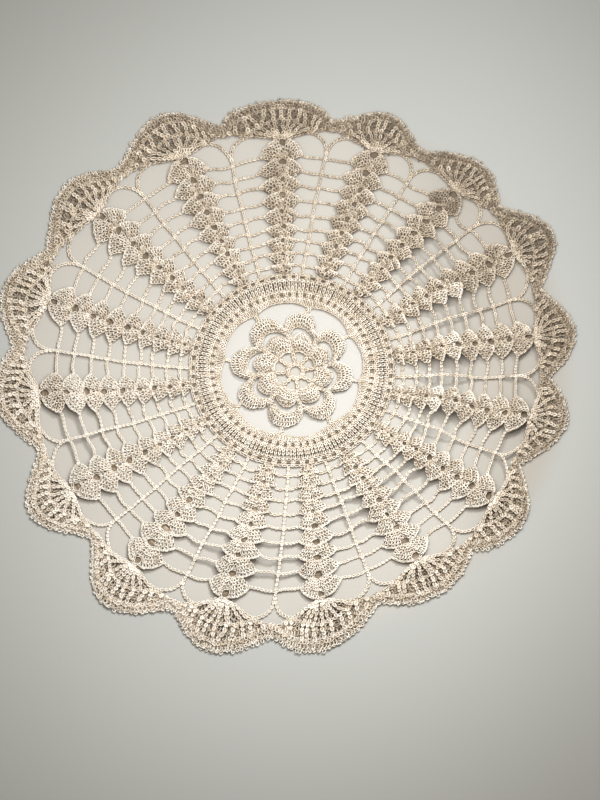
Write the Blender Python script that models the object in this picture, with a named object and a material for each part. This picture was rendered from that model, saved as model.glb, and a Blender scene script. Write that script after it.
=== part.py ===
"""A crochet lace doily, one continuous piece of cotton lace, lying flat with a few gentle ripples.

The pattern is worked out flat, as an angle clockwise from +Y and a radius from the middle of the
rose, and each of its points is then laid on the table by lay(). Sizes are in millimetres and angles
in degrees; MM turns them into metres where the mesh is made.
"""

import math
from collections import namedtuple

import bpy
from mathutils import Vector, geometry

MM = 0.001

# The lace: 16 repeats of a shell column and the spine after it, around a rose of 8 petals.
REPEATS = 16
SECTOR = 360 / REPEATS
PETALS = 8
PETAL_SECTOR = 360 / PETALS
PETAL_START = 19

# Thickness of the lace where it is a chain, an edge or an eyelet, and where stitches stand proud.
YARN = 1.5
EYELET_THICK = 1.0
SHELL_THICK = 2.7
TREBLE_THICK = 2.4
SEAM_THICK = 1.9
FAN_THICK = 2.3
INNER_PETAL_THICK = 6.0
OUTER_PETAL_THICK = 4.2
PETAL_FOOT_THICK = 2.4

# The wheel and the rose.
RING_HOLE = 2.3
RING_OUTER = 4.6
SPOKE = 2.0
WHEEL_GAP_OUTER = 11.8
INNER_PETAL_MIDDLE = 17.5
INNER_PETAL_OUTER = 23.0
PETAL_GAP_OUTER = 28.0
PETAL_GAP_HALF = 4.6
JOIN = 2.6
JOIN_RADIUS = 36.2

# The band around the rose: it is scalloped inside, where the petals join it.
BAND_AT_JOIN = 38.6
BAND_BETWEEN_JOINS = 42.0
BAND_OUTER = 60.0

# The net: chains of this width, spines of this width, and the fork that ends each spine.
CHAIN = 2.2
SPINE = 2.2
LOBE_NOTCH = 3.2
LOBE_DROOP = 1.2
FORK = 138.5
FORK_ARM_ACROSS = 14.0
FORK_ARM_UP = 13.0

# The edging: scallops between valleys, with a wing of this depth at each valley.
VALLEY = 158.5
SCALLOP = 175.0
WING = 5.5
FAN_FOOT = 3.0
FAN_ROW = 163.0
RIM_STEPS = 7

# Place of the box's middle from the band's, and of the rose's middle from the band's.
BOX_MIDDLE = (-4.783, -3.037)
ROSE_FROM_BAND = (2.1, -0.8)

# The nine rows of the net: radius of the chain row and of the eyelet in each shell, and half the
# width of the shell where the chain meets it.
NetRow = namedtuple("NetRow", "chain eyelet shell_half")
NET = (
    NetRow(chain=65.5, eyelet=66.0, shell_half=6.1),
    NetRow(chain=72.9, eyelet=73.9, shell_half=7.3),
    NetRow(chain=81.0, eyelet=83.1, shell_half=7.9),
    NetRow(chain=88.8, eyelet=91.7, shell_half=8.5),
    NetRow(chain=97.6, eyelet=101.7, shell_half=9.3),
    NetRow(chain=107.0, eyelet=112.2, shell_half=10.4),
    NetRow(chain=116.5, eyelet=122.2, shell_half=11.5),
    NetRow(chain=126.0, eyelet=133.8, shell_half=12.0),
    NetRow(chain=136.0, eyelet=146.5, shell_half=11.8),
)
FIRST_CUT_ROW = 1

# Outline of an outer petal, from its tip to the notch beside it.
PetalPoint = namedtuple("PetalPoint", "angle radius")
OUTER_PETAL = (
    PetalPoint(angle=8.0, radius=35.4),
    PetalPoint(angle=14.0, radius=32.6),
    PetalPoint(angle=18.0, radius=29.0),
    PetalPoint(angle=22.5, radius=24.2),
)

# How each repeat lies: the directions of its column and its spine at the band and further out, the
# radii that its top eyelet, its scallop, its fork and its valley reach, and how much of the repeat's
# width its scallop spans at half its rise.
Repeat = namedtuple(
    "Repeat", "column_in column_out spine_in spine_out eyelet scallop fork valley width"
)
LAID = (
    Repeat(355.5, 357.8, 6.0, 8.5, 144.6, 168.5, 135.3, 157.4, 0.70),
    Repeat(18.3, 19.8, 29.5, 30.0, 144.6, 169.7, 137.0, 156.8, 0.50),
    Repeat(39.8, 41.0, 50.5, 50.0, 146.9, 169.7, 138.2, 158.6, 0.62),
    Repeat(60.5, 60.7, 71.7, 71.4, 148.1, 174.9, 136.4, 153.9, 0.57),
    Repeat(81.5, 82.0, 94.0, 92.0, 142.3, 166.7, 132.9, 149.8, 0.66),
    Repeat(103.2, 102.4, 115.0, 113.9, 141.1, 163.2, 131.2, 144.6, 0.72),
    Repeat(126.0, 124.6, 137.2, 136.6, 141.7, 164.4, 132.9, 152.2, 0.72),
    Repeat(149.0, 148.2, 161.0, 160.6, 138.2, 162.7, 132.9, 152.7, 0.64),
    Repeat(171.3, 173.4, 182.0, 184.0, 142.8, 173.7, 139.9, 165.0, 0.62),
    Repeat(193.0, 195.5, 205.0, 205.8, 146.9, 180.1, 142.8, 163.8, 0.56),
    Repeat(215.0, 217.4, 227.0, 227.9, 151.6, 181.3, 139.9, 156.8, 0.65),
    Repeat(238.0, 239.6, 249.5, 251.4, 148.1, 176.6, 139.3, 156.2, 0.57),
    Repeat(260.5, 264.0, 271.0, 274.9, 148.1, 175.0, 139.9, 163.2, 0.61),
    Repeat(283.5, 286.7, 295.5, 297.7, 148.1, 176.1, 139.9, 162.1, 0.57),
    Repeat(307.5, 310.6, 319.0, 321.2, 149.2, 175.5, 139.9, 162.1, 0.56),
    Repeat(331.5, 334.0, 342.0, 344.8, 146.9, 176.6, 134.1, 158.0, 0.55),
)

# The directions in which each petal's inner and outer layers lie.
Petal = namedtuple("Petal", "inner outer")
PETALS_LAID = (
    Petal(inner=16.5, outer=9.0),
    Petal(inner=62.0, outer=54.5),
    Petal(inner=106.0, outer=100.0),
    Petal(inner=150.5, outer=143.0),
    Petal(inner=194.0, outer=188.5),
    Petal(inner=239.5, outer=236.5),
    Petal(inner=285.0, outer=277.5),
    Petal(inner=329.5, outer=327.5),
)

# Ripples: direction and radius of each crest in the flat pattern, its height, and how far it spreads.
Ripple = namedtuple("Ripple", "angle radius height spread_angle spread_radius")
RIPPLES = (
    Ripple(angle=62, radius=102, height=4.5, spread_angle=42, spread_radius=34),
    Ripple(angle=108, radius=92, height=6.0, spread_angle=40, spread_radius=26),
    Ripple(angle=112, radius=142, height=3.5, spread_angle=44, spread_radius=22),
    Ripple(angle=150, radius=96, height=4.5, spread_angle=38, spread_radius=28),
    Ripple(angle=200, radius=118, height=3.5, spread_angle=30, spread_radius=26),
    Ripple(angle=262, radius=128, height=3.0, spread_angle=30, spread_radius=24),
)

COTTON = (0.78, 0.70, 0.59, 1.0)

Point = namedtuple("Point", "angle radius thick")


# How a flat pattern point comes to lie on the table


def closed_curve(values, place):
    """A smooth closed curve through values, read at a place counted in steps from the first."""
    step = math.floor(place)
    part = place - step
    before, start, end, after = (values[(step + k) % len(values)] for k in (-1, 0, 1, 2))
    leave, arrive = (end - before) / 2, (after - start) / 2
    return (
        start
        + part * leave
        + part**2 * (3 * (end - start) - 2 * leave - arrive)
        + part**3 * (leave + arrive - 2 * (end - start))
    )


def turn_from(laid, flat):
    """The turn in degrees, from -180 to 180, that brings a flat direction to where it is laid."""
    return (laid - flat + 180) % 360 - 180


def ease(value, start, end):
    """0 up to start, 1 from end on, and a smooth rise between them."""
    part = min(1.0, max(0.0, (value - start) / (end - start)))
    return part * part * (3 - 2 * part)


def half_steps(column_values, spine_values):
    """One value for each column and each spine, in their order around the lace."""
    return [value for pair in zip(column_values, spine_values) for value in pair]


def column_angle(column):
    return column * SECTOR


def spine_angle(column):
    return (column + 0.5) * SECTOR


def petal_angle(petal):
    return PETAL_START + petal * PETAL_SECTOR


TURN_IN = half_steps(
    [turn_from(row.column_in, column_angle(k)) for k, row in enumerate(LAID)],
    [turn_from(row.spine_in, spine_angle(k)) for k, row in enumerate(LAID)],
)
TURN_OUT = half_steps(
    [turn_from(row.column_out, column_angle(k)) for k, row in enumerate(LAID)],
    [turn_from(row.spine_out, spine_angle(k)) for k, row in enumerate(LAID)],
)
NET_GAIN = half_steps(
    [row.eyelet / NET[-1].eyelet for row in LAID], [row.fork / FORK for row in LAID]
)
RIM_GAIN = half_steps([row.scallop / SCALLOP for row in LAID], [row.valley / VALLEY for row in LAID])
PETAL_TURN_INNER = [turn_from(row.inner, petal_angle(k)) for k, row in enumerate(PETALS_LAID)]
PETAL_TURN_OUTER = [turn_from(row.outer, petal_angle(k)) for k, row in enumerate(PETALS_LAID)]


def between(at_column, at_spine, angle):
    """A radius that swings evenly from its value at a column to its value at a spine."""
    swing = math.cos(2 * math.pi * angle / SECTOR)
    return (at_column + at_spine) / 2 + (at_column - at_spine) / 2 * swing


def laid_angle(angle, radius):
    """The direction in which a point of the flat pattern lies."""
    place = 2 * angle / SECTOR
    spread = min(1.0, max(0.0, (radius - BAND_OUTER) / (FORK - BAND_OUTER)))
    turn = (1 - spread) * closed_curve(TURN_IN, place) + spread * closed_curve(TURN_OUT, place)
    if radius < BAND_AT_JOIN:
        petal = (angle - PETAL_START) / PETAL_SECTOR
        inner = closed_curve(PETAL_TURN_INNER, petal)
        outer = closed_curve(PETAL_TURN_OUTER, petal)
        rose = inner + (outer - inner) * ease(radius, INNER_PETAL_MIDDLE, PETAL_GAP_OUTER)
        turn = rose + (turn - rose) * ease(radius, OUTER_PETAL[1].radius, BAND_AT_JOIN)
    return angle + turn


def laid_radius(angle, radius):
    """How far from the middle of the band a point of the flat pattern lies."""
    place = 2 * angle / SECTOR
    fork = between(NET[-1].eyelet, FORK, angle)
    rim = between(SCALLOP, VALLEY, angle)
    net_gain = closed_curve(NET_GAIN, place)
    if radius < fork:
        return radius * (1 + (net_gain - 1) * max(0.0, (radius - BAND_OUTER) / (fork - BAND_OUTER)))
    outward = (radius - fork) / (rim - fork)
    return radius * (net_gain + (closed_curve(RIM_GAIN, place) - net_gain) * outward)


def hump(distance, spread):
    """1 at no distance, falling smoothly to 0 at the spread."""
    return math.cos(math.pi / 2 * min(1.0, abs(distance) / spread)) ** 2


def lift(angle, radius):
    """How far the lace's underside stands above the table."""
    return sum(
        ripple.height
        * hump(turn_from(angle, ripple.angle), ripple.spread_angle)
        * hump(radius - ripple.radius, ripple.spread_radius)
        for ripple in RIPPLES
    )


def lay(angle, radius):
    """Where a point of the flat pattern lies, from the middle of the box: x, y, height."""
    direction = math.radians(laid_angle(angle, radius))
    reach = laid_radius(angle, radius)
    shift = 1 - ease(radius, 0, BAND_AT_JOIN)
    x = reach * math.sin(direction) + shift * ROSE_FROM_BAND[0] - BOX_MIDDLE[0]
    y = reach * math.cos(direction) + shift * ROSE_FROM_BAND[1] - BOX_MIDDLE[1]
    return x, y, lift(angle, radius)


# Outlines of the flat pattern: the rim, and every gap that is cut through


def span(width, radius):
    """The angle that a width takes up at a radius."""
    return math.degrees(width / radius)


def placed(middle, side, points):
    """Points given as (angle, radius) beside a middle line, laid to one side of it."""
    return [Point(middle + side * angle, radius, YARN) for angle, radius in points]


def scallop_rise(column, off_column):
    """How far the rim has risen, from 0 at the valley to 1 at the column, at a part of half a repeat."""
    even = (1 + math.cos(math.pi * off_column)) / 2
    even_at_width = (1 + math.cos(math.pi * LAID[column].width)) / 2
    return even ** (math.log(0.5) / math.log(even_at_width))


def rim_outline():
    outline = []
    for column in range(REPEATS):
        for step in range(-RIM_STEPS, RIM_STEPS):
            off_column = step / RIM_STEPS
            rise = (SCALLOP - VALLEY) * scallop_rise(column, abs(off_column))
            outline.append(Point(column_angle(column) + off_column * SECTOR / 2, VALLEY + rise, YARN))
    return outline


def ring_hole():
    sides = 8
    return [Point(k * 360 / sides, RING_HOLE, YARN) for k in range(sides)]


def wheel_gap(petal):
    """The gap between two spokes of the wheel, inside one petal."""
    inner = PETAL_SECTOR / 2 - span(SPOKE / 2, RING_OUTER)
    outer = PETAL_SECTOR / 2 - span(SPOKE / 2, WHEEL_GAP_OUTER)
    points = ((-inner, RING_OUTER), (-outer, WHEEL_GAP_OUTER), (0, WHEEL_GAP_OUTER + 0.6))
    points += ((outer, WHEEL_GAP_OUTER), (inner, RING_OUTER))
    return placed(petal_angle(petal), 1, points)


def petal_gap(petal):
    """The gap between the inner and the outer layer of a petal."""
    half = span(PETAL_GAP_HALF, INNER_PETAL_OUTER)
    points = ((-half, INNER_PETAL_OUTER), (-half * 0.55, PETAL_GAP_OUTER - 1.2), (0, PETAL_GAP_OUTER))
    points += ((half * 0.55, PETAL_GAP_OUTER - 1.2), (half, INNER_PETAL_OUTER))
    points += ((0, INNER_PETAL_OUTER + 0.8),)
    return placed(petal_angle(petal), 1, points)


def rose_gap(petal):
    """The opening between the rose and the band, from one petal's join to the next."""
    join = span(JOIN / 2, JOIN_RADIUS)
    petals = [(join, JOIN_RADIUS)] + list(OUTER_PETAL)
    petals += [(PETAL_SECTOR - angle, radius) for angle, radius in reversed(petals[:-1])]
    steps = 8
    band = []
    for step in range(steps + 1):
        angle = join + (PETAL_SECTOR - 2 * join) * (steps - step) / steps
        bow = math.sin(math.pi * angle / PETAL_SECTOR) ** 0.5
        band.append((angle, BAND_AT_JOIN + (BAND_BETWEEN_JOINS - BAND_AT_JOIN) * bow))
    return placed(petal_angle(petal), 1, petals + band)


def net_cell(column, side, row):
    """The gap between two chain rows, from a shell column to the spine beside it."""
    low = NET[row].chain + CHAIN / 2
    high = NET[row + 1].chain - CHAIN / 2
    half = NET[row + 1].shell_half
    points = (
        (SECTOR / 2 - span(SPINE / 2, low), low),
        (span(NET[row].shell_half, low), low),
        (span(half - LOBE_NOTCH, high), high - LOBE_DROOP),
        (span(half, high), high),
        (SECTOR / 2 - span(SPINE / 2, high), high),
    )
    return placed(column_angle(column), side, points)


def arm_point(turn, widen):
    """A point beside the curved arm of a fork, as its angle from the spine and its radius."""
    across = FORK_ARM_ACROSS - (FORK_ARM_ACROSS + widen) * math.cos(math.radians(turn))
    radius = FORK + (FORK_ARM_UP + widen) * math.sin(math.radians(turn))
    return span(across, radius), radius


def loop_cell(column, side):
    """The gap inside a fork's arm, beside the top shell and under the scallop's fan."""
    low = NET[-1].chain + CHAIN / 2
    top = NET[-1].eyelet
    half = NET[-1].shell_half
    points = [
        (span(half, low), low),
        (span(half * 0.72, top - 5.5), top - 5.5),
        (span(FAN_FOOT, top - 0.5), top - 0.5),
    ]
    for turn in (90, 62, 36, 14):
        off_spine, radius = arm_point(turn, -CHAIN / 2)
        points.append((SECTOR / 2 - off_spine, radius))
    return placed(column_angle(column), side, points)


def valley_cell(column):
    """The gap between a fork's two arms, under the wing of the edging."""
    arm = [arm_point(turn, CHAIN / 2) for turn in (32, 55, 68)]
    wing = VALLEY - WING
    right = arm + [(span(4.5, wing), wing + 0.3)]
    left = [(-angle, radius) for angle, radius in reversed(right)]
    points = [(0, FORK + CHAIN)] + right + [(0, wing)] + left
    return placed(spine_angle(column), 1, points)


def gap_outlines():
    gaps = [ring_hole()]
    for petal in range(PETALS):
        gaps += [wheel_gap(petal), petal_gap(petal), rose_gap(petal)]
    for column in range(REPEATS):
        gaps.append(valley_cell(column))
        for side in (-1, 1):
            gaps.append(loop_cell(column, side))
            gaps += [net_cell(column, side, row) for row in range(FIRST_CUT_ROW, len(NET) - 1)]
    return gaps


# Relief: what stands proud of the lace, and what lies deeper


def band_relief():
    """Two rows of eyelets with the solid treble row between them, and the seams beside them."""
    rows = (
        (44.3, SEAM_THICK),
        (46.8, EYELET_THICK),
        (49.2, TREBLE_THICK),
        (54.6, TREBLE_THICK),
        (57.2, EYELET_THICK),
        (BAND_OUTER, SEAM_THICK),
    )
    count = 2 * REPEATS
    return [
        Point((k + 0.5 * (index % 2)) * 360 / count, radius, thick)
        for index, (radius, thick) in enumerate(rows)
        for k in range(count)
    ]


def petal_relief(petal):
    """The puffed inner petal, and the ridge along the outer one."""
    middle = petal_angle(petal)
    inner = [(angle, INNER_PETAL_MIDDLE, INNER_PETAL_THICK) for angle in (-12, 0, 12)]
    foot = [(PETAL_SECTOR / 2, radius, PETAL_FOOT_THICK) for radius in (13.5, 20.5)]
    outer = [(0, 32.0), (-10, 30.2), (10, 30.2), (-15.5, 26.8), (15.5, 26.8)]
    points = inner + foot + [(angle, radius, OUTER_PETAL_THICK) for angle, radius in outer]
    return [Point(middle + angle, radius, thick) for angle, radius, thick in points]


def shell_relief(column):
    """Each shell is two lobes of stitches with an eyelet between them at the top."""
    points = []
    foot = BAND_OUTER
    for row in NET:
        lobe = (foot + row.eyelet) / 2
        half = span(row.shell_half * 0.52, lobe)
        points.append(Point(column_angle(column), row.eyelet - 1.0, EYELET_THICK))
        points += [Point(column_angle(column) + side * half, lobe, SHELL_THICK) for side in (-1, 1)]
        foot = row.eyelet
    return points


def fan_relief(column):
    """The tops of the fan's first row stand proud, and the eyelets beyond them lie deeper."""
    proud = [Point(column_angle(column) + angle, FAN_ROW, FAN_THICK) for angle in (-4.5, -1.5, 1.5, 4.5)]
    deep = [Point(column_angle(column) + angle, FAN_ROW + 5, EYELET_THICK) for angle in (-3, 0, 3)]
    return proud + deep


def relief_points():
    points = band_relief()
    for petal in range(PETALS):
        points += petal_relief(petal)
    for column in range(REPEATS):
        points += shell_relief(column) + fan_relief(column)
    return points


# The solid


def counterclockwise(places, loop):
    """The loop of indices, turned round where it runs clockwise seen from above."""
    area = sum(places[first].cross(places[second]) for first, second in zip(loop, loop[1:] + loop[:1]))
    return loop if area > 0 else loop[::-1]


def triangles(places, loops):
    """Triangles over the area inside the first loop and outside the others."""
    _, _, faces, origins, _, owners = geometry.delaunay_2d_cdt(places, [], loops, 1, 1e-6)
    if any(len(origin) != 1 for origin in origins):
        raise ValueError("two outlines of the lace cross or touch")
    return [[origins[k][0] for k in face] for face, owner in zip(faces, owners) if owner == [0]]


def lace_mesh():
    outlines = [rim_outline()] + gap_outlines()
    edge = [point for outline in outlines for point in outline]
    loops = []
    start = 0
    for outline in outlines:
        loops.append(list(range(start, start + len(outline))))
        start += len(outline)

    points = edge + relief_points()
    laid = [lay(point.angle, point.radius) for point in points]
    flat = [Vector((x, y)) for x, y, _ in laid]
    loops = [counterclockwise(flat, loop) for loop in loops]
    top = triangles(flat, loops)
    bottom = triangles(flat[: len(edge)], loops)

    over = [Vector((x, y, z + point.thick)) * MM for (x, y, z), point in zip(laid, points)]
    under = [Vector(place) * MM for place in laid[: len(edge)]]
    below = len(over)
    walls = []
    for loop in loops:
        for k, first in enumerate(loop):
            second = loop[(k + 1) % len(loop)]
            walls += [(first, second, below + second), (first, below + second, below + first)]
    downward = [[below + k for k in reversed(face)] for face in bottom]

    mesh = bpy.data.meshes.new("doily")
    mesh.from_pydata(over + under, [], top + downward + walls)
    mesh.validate()
    return mesh


def cotton():
    material = bpy.data.materials.new("cotton")
    material.use_nodes = True
    surface = material.node_tree.nodes["Principled BSDF"]
    surface.inputs["Base Color"].default_value = COTTON
    surface.inputs["Roughness"].default_value = 0.9
    surface.inputs["Metallic"].default_value = 0.0
    return material


def face_outward(doily):
    """Turn all faces so that the closed mesh faces outward."""
    bpy.context.view_layer.objects.active = doily
    bpy.ops.object.mode_set(mode="EDIT")
    bpy.ops.mesh.select_all(action="SELECT")
    bpy.ops.mesh.normals_make_consistent(inside=False)
    bpy.ops.object.mode_set(mode="OBJECT")


def main():
    for thing in list(bpy.data.objects):
        bpy.data.objects.remove(thing, do_unlink=True)
    doily = bpy.data.objects.new("doily", lace_mesh())
    bpy.context.scene.collection.objects.link(doily)
    doily.data.materials.append(cotton())
    face_outward(doily)
    doily.data.shade_smooth()
    doily.data.set_sharp_from_angle(angle=math.radians(50))


main()
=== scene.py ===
import math
from collections import namedtuple

import bpy
import numpy as np
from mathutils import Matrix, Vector


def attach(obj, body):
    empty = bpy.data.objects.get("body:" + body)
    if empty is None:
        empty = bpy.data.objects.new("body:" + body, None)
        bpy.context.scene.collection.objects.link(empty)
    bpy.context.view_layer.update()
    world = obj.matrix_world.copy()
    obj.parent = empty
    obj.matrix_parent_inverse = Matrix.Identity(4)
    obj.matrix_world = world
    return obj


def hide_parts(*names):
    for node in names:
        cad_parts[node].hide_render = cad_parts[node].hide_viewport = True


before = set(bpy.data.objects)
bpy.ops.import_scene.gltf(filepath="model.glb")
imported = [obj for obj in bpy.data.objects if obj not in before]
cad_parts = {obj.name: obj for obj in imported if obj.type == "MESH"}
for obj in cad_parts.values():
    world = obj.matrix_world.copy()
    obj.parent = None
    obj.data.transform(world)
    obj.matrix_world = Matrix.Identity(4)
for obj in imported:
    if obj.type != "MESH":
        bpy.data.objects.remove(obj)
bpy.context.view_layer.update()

# A crochet lace doily, stitch by stitch. The pattern is worked out flat in millimetres, with the
# middle of the rose at 0, 0, and each point of each yarn is then laid on the table by lay(). The
# sizes down to RIPPLES are those of the CAD model. Angles are in degrees, clockwise from +Y.

MM = 0.001
TINY = 1e-9
UP = (0.0, 0.0, 1.0)
REPEATS = 16
SECTOR = 360 / REPEATS
PETALS = 8
PETAL_SECTOR = 360 / PETALS
PETAL_START = 19

INNER_PETAL_MIDDLE = 17.5
PETAL_GAP_OUTER = 28.0
PETAL_EASE = 32.6
BAND_AT_JOIN = 38.6
BAND_BETWEEN_JOINS = 42.0
BAND_OUTER = 60.0

FORK = 138.5
FORK_ARM_ACROSS = 14.0
FORK_ARM_UP = 13.0
VALLEY = 158.5
SCALLOP = 175.0

BOX_MIDDLE = (-4.783, -3.037)
ROSE_FROM_BAND = (2.1, -0.8)

NetRow = namedtuple("NetRow", "chain eyelet shell_half links")
NET = (
    NetRow(65.5, 66.0, 6.1, 2),
    NetRow(72.9, 73.9, 7.3, 3),
    NetRow(81.0, 83.1, 7.9, 3),
    NetRow(88.8, 91.7, 8.5, 4),
    NetRow(97.6, 101.7, 9.3, 4),
    NetRow(107.0, 112.2, 10.4, 5),
    NetRow(116.5, 122.2, 11.5, 5),
    NetRow(126.0, 133.8, 12.0, 6),
    NetRow(136.0, 146.5, 11.8, 7),
)

# The edges of an outer petal: the angle and radius of each point.
PETAL_INNER_EDGE = (
    (-21.0, 22.6),
    (-11.0, 26.4),
    (0.0, 28.0),
    (11.0, 26.4),
    (21.0, 22.6),
)
PETAL_OUTER_EDGE = (
    (-22.0, 25.2),
    (-18.0, 28.7),
    (-14.0, 32.2),
    (-8.0, 34.9),
    (0.0, 35.8),
    (8.0, 34.9),
    (14.0, 32.2),
    (18.0, 28.7),
    (22.0, 25.2),
)

Repeat = namedtuple(
    "Repeat", "column_in column_out spine_in spine_out eyelet scallop fork valley width"
)
LAID = (
    Repeat(355.5, 357.8, 6.0, 8.5, 144.6, 168.5, 135.3, 157.4, 0.70),
    Repeat(18.3, 19.8, 29.5, 30.0, 144.6, 169.7, 137.0, 156.8, 0.50),
    Repeat(39.8, 41.0, 50.5, 50.0, 146.9, 169.7, 138.2, 158.6, 0.62),
    Repeat(60.5, 60.7, 71.7, 71.4, 148.1, 174.9, 136.4, 153.9, 0.57),
    Repeat(81.5, 82.0, 94.0, 92.0, 142.3, 166.7, 132.9, 149.8, 0.66),
    Repeat(103.2, 102.4, 115.0, 113.9, 141.1, 163.2, 131.2, 144.6, 0.72),
    Repeat(126.0, 124.6, 137.2, 136.6, 141.7, 164.4, 132.9, 152.2, 0.72),
    Repeat(149.0, 148.2, 161.0, 160.6, 138.2, 162.7, 132.9, 152.7, 0.64),
    Repeat(171.3, 173.4, 182.0, 184.0, 142.8, 173.7, 139.9, 165.0, 0.62),
    Repeat(193.0, 195.5, 205.0, 205.8, 146.9, 180.1, 142.8, 163.8, 0.56),
    Repeat(215.0, 217.4, 227.0, 227.9, 151.6, 181.3, 139.9, 156.8, 0.65),
    Repeat(238.0, 239.6, 249.5, 251.4, 148.1, 176.6, 139.3, 156.2, 0.57),
    Repeat(260.5, 264.0, 271.0, 274.9, 148.1, 175.0, 139.9, 163.2, 0.61),
    Repeat(283.5, 286.7, 295.5, 297.7, 148.1, 176.1, 139.9, 162.1, 0.57),
    Repeat(307.5, 310.6, 319.0, 321.2, 149.2, 175.5, 139.9, 162.1, 0.56),
    Repeat(331.5, 334.0, 342.0, 344.8, 146.9, 176.6, 134.1, 158.0, 0.55),
)

Petal = namedtuple("Petal", "inner outer")
PETALS_LAID = (
    Petal(16.5, 9.0),
    Petal(62.0, 54.5),
    Petal(106.0, 100.0),
    Petal(150.5, 143.0),
    Petal(194.0, 188.5),
    Petal(239.5, 236.5),
    Petal(285.0, 277.5),
    Petal(329.5, 327.5),
)

Ripple = namedtuple("Ripple", "angle radius height spread_angle spread_radius")
RIPPLES = (
    Ripple(62, 102, 4.5, 42, 34),
    Ripple(108, 92, 6.0, 40, 26),
    Ripple(112, 142, 3.5, 44, 22),
    Ripple(150, 96, 4.5, 38, 28),
    Ripple(200, 118, 3.5, 30, 26),
    Ripple(262, 128, 3.0, 30, 24),
)

# A shell's two lobes: how pointed they are and how wide at the foot, and the eyelet between their
# tops, whose half width is a share of the shell's and whose depth a share of the row's.
LOBE_POINT = 1.35
LOBE_FOOT = 0.48
EYELET_WIDTH = 0.29
EYELET_DEPTH = 0.4
EYELET_STITCHES = 9

# The lobes that are clearly paler or browner in the photo, raised or in a shadow, and by how much:
# they are painted light and painted shade.
# Each is found by its column, row and side.
SHELL_TONES = {
    (2, 8, -1): -0.25,
    (2, 8, 1): -0.3,
    (3, 5, 1): 0.3,
    (3, 4, 1): 0.3,
    (4, 4, -1): 0.3,
    (4, 4, 1): 0.25,
    (5, 3, -1): 0.3,
    (5, 3, 1): 0.3,
    (12, 8, -1): -0.25,
    (12, 8, 1): -0.25,
    (12, 7, -1): 0.25,
    (12, 7, 1): 0.25,
}

# The yarn is painted as it is in the photo: paler outwards on one side, a painted light, and
# browner in the edging. The radii are where each change starts and ends.
PALE_SIDE = 225
PALE_OUTER = 0.35
PALE_START = 30
PALE_REACH = 100
BROWN_OUTER = 0.01
OUTER_START, OUTER_END = 90, 140
BROWN_EDGING = -0.28
EDGING_START, EDGING_END = 146, 156

# The yarn: its thickness, the sides of its tube and where the first one is, and the length of one
# turn of its plies.
YARN_RADIUS = 0.42
SIDES = 3
FIRST_SIDE = 45
PLY_TURN = 1.3
# The crest of a yarn is what its colour is read from: 0 is brown and 1 cream. It holds painted
# shade: a yarn is paler on its upper side than on its lower side, and browner beneath a stitch. It
# is this beneath a stitch, this all round a buried yarn, and spreads this far from one stitch to
# the next.
HIDDEN_CREST = 0.15
BURIED_CREST = 0.7
TONE_SPREAD = 0.13
# A chain stitch is so long.
LINK = 2.4
# How far a stitch is out of its place, and at most how many times that.
JITTER = 0.12
JITTER_LIMIT = 1.8
# A tall stitch is a core with loops of yarn over it.
POST_POINTS = 4
POST_LOOP = 1.95
POST_LOOP_RISE = 0.25
POST_LOOP_SHIFT = 0.25
POST_LOOP_JITTER = 0.7
POST_CORE = 0.6
# Its core is painted brown, as shade in the pits between the loops.
CORE_CREST = -0.15
# A patch is rows of stitches, a little taller than they are wide, over thick yarns.
STITCH = 1.75
STITCH_SHAPE = 1.1
PATCH_JITTER = 0.14
STITCH_WIDTH = 0.84
STITCH_RISE = 0.3
STITCH_SHIFT = 0.15
# The thick yarns beneath are painted brown all round, as shade under the stitches.
UNDER_CREST = -0.12
UNDER_RADIUS = 0.8
UNDER_DEPTH = 0.4
UNDER_PITCH = 1.3
UNDER_INSET = 0.04
# The fewest points on the row lines of a patch with straight sides, and their spacing.
RULED_POINTS = 7
RULED_PITCH = 3.5
# How much of a line each round of smoothing cuts off at a corner.
CORNER_CUT = 0.25

SEED = 20

random = np.random.default_rng(SEED)


# How a flat pattern point comes to lie on the table


def closed_curve(values, place):
    """A smooth closed curve through values, read at places counted in steps from the first."""
    values = np.asarray(values)
    step = np.floor(place).astype(int)
    part = place - step
    before, start, end, after = (values[(step + k) % len(values)] for k in (-1, 0, 1, 2))
    leave, arrive = (end - before) / 2, (after - start) / 2
    return (
        start
        + part * leave
        + part**2 * (3 * (end - start) - 2 * leave - arrive)
        + part**3 * (leave + arrive - 2 * (end - start))
    )


def turn_from(laid, flat):
    return (laid - flat + 180) % 360 - 180


def ease(value, start, end):
    part = np.clip((value - start) / (end - start), 0, 1)
    return part * part * (3 - 2 * part)


def half_steps(column_values, spine_values):
    return [value for pair in zip(column_values, spine_values) for value in pair]


def column_angle(column):
    return column * SECTOR


def spine_angle(column):
    return (column + 0.5) * SECTOR


def petal_angle(petal):
    return PETAL_START + petal * PETAL_SECTOR


def turns(columns, spines):
    """How far columns and spines lie off their even places, by turns."""
    return half_steps(
        [turn_from(laid, column_angle(k)) for k, laid in enumerate(columns)],
        [turn_from(laid, spine_angle(k)) for k, laid in enumerate(spines)],
    )


TURN_IN = turns([row.column_in for row in LAID], [row.spine_in for row in LAID])
TURN_OUT = turns([row.column_out for row in LAID], [row.spine_out for row in LAID])
NET_GAIN = half_steps(
    [row.eyelet / NET[-1].eyelet for row in LAID], [row.fork / FORK for row in LAID]
)
RIM_GAIN = half_steps(
    [row.scallop / SCALLOP for row in LAID], [row.valley / VALLEY for row in LAID]
)
PETAL_TURN_INNER = [turn_from(row.inner, petal_angle(k)) for k, row in enumerate(PETALS_LAID)]
PETAL_TURN_OUTER = [turn_from(row.outer, petal_angle(k)) for k, row in enumerate(PETALS_LAID)]


def between(at_column, at_spine, angle):
    """A value that swings from one at the columns to another at the spines."""
    swing = np.cos(2 * math.pi * angle / SECTOR)
    return (at_column + at_spine) / 2 + (at_column - at_spine) / 2 * swing


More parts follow.
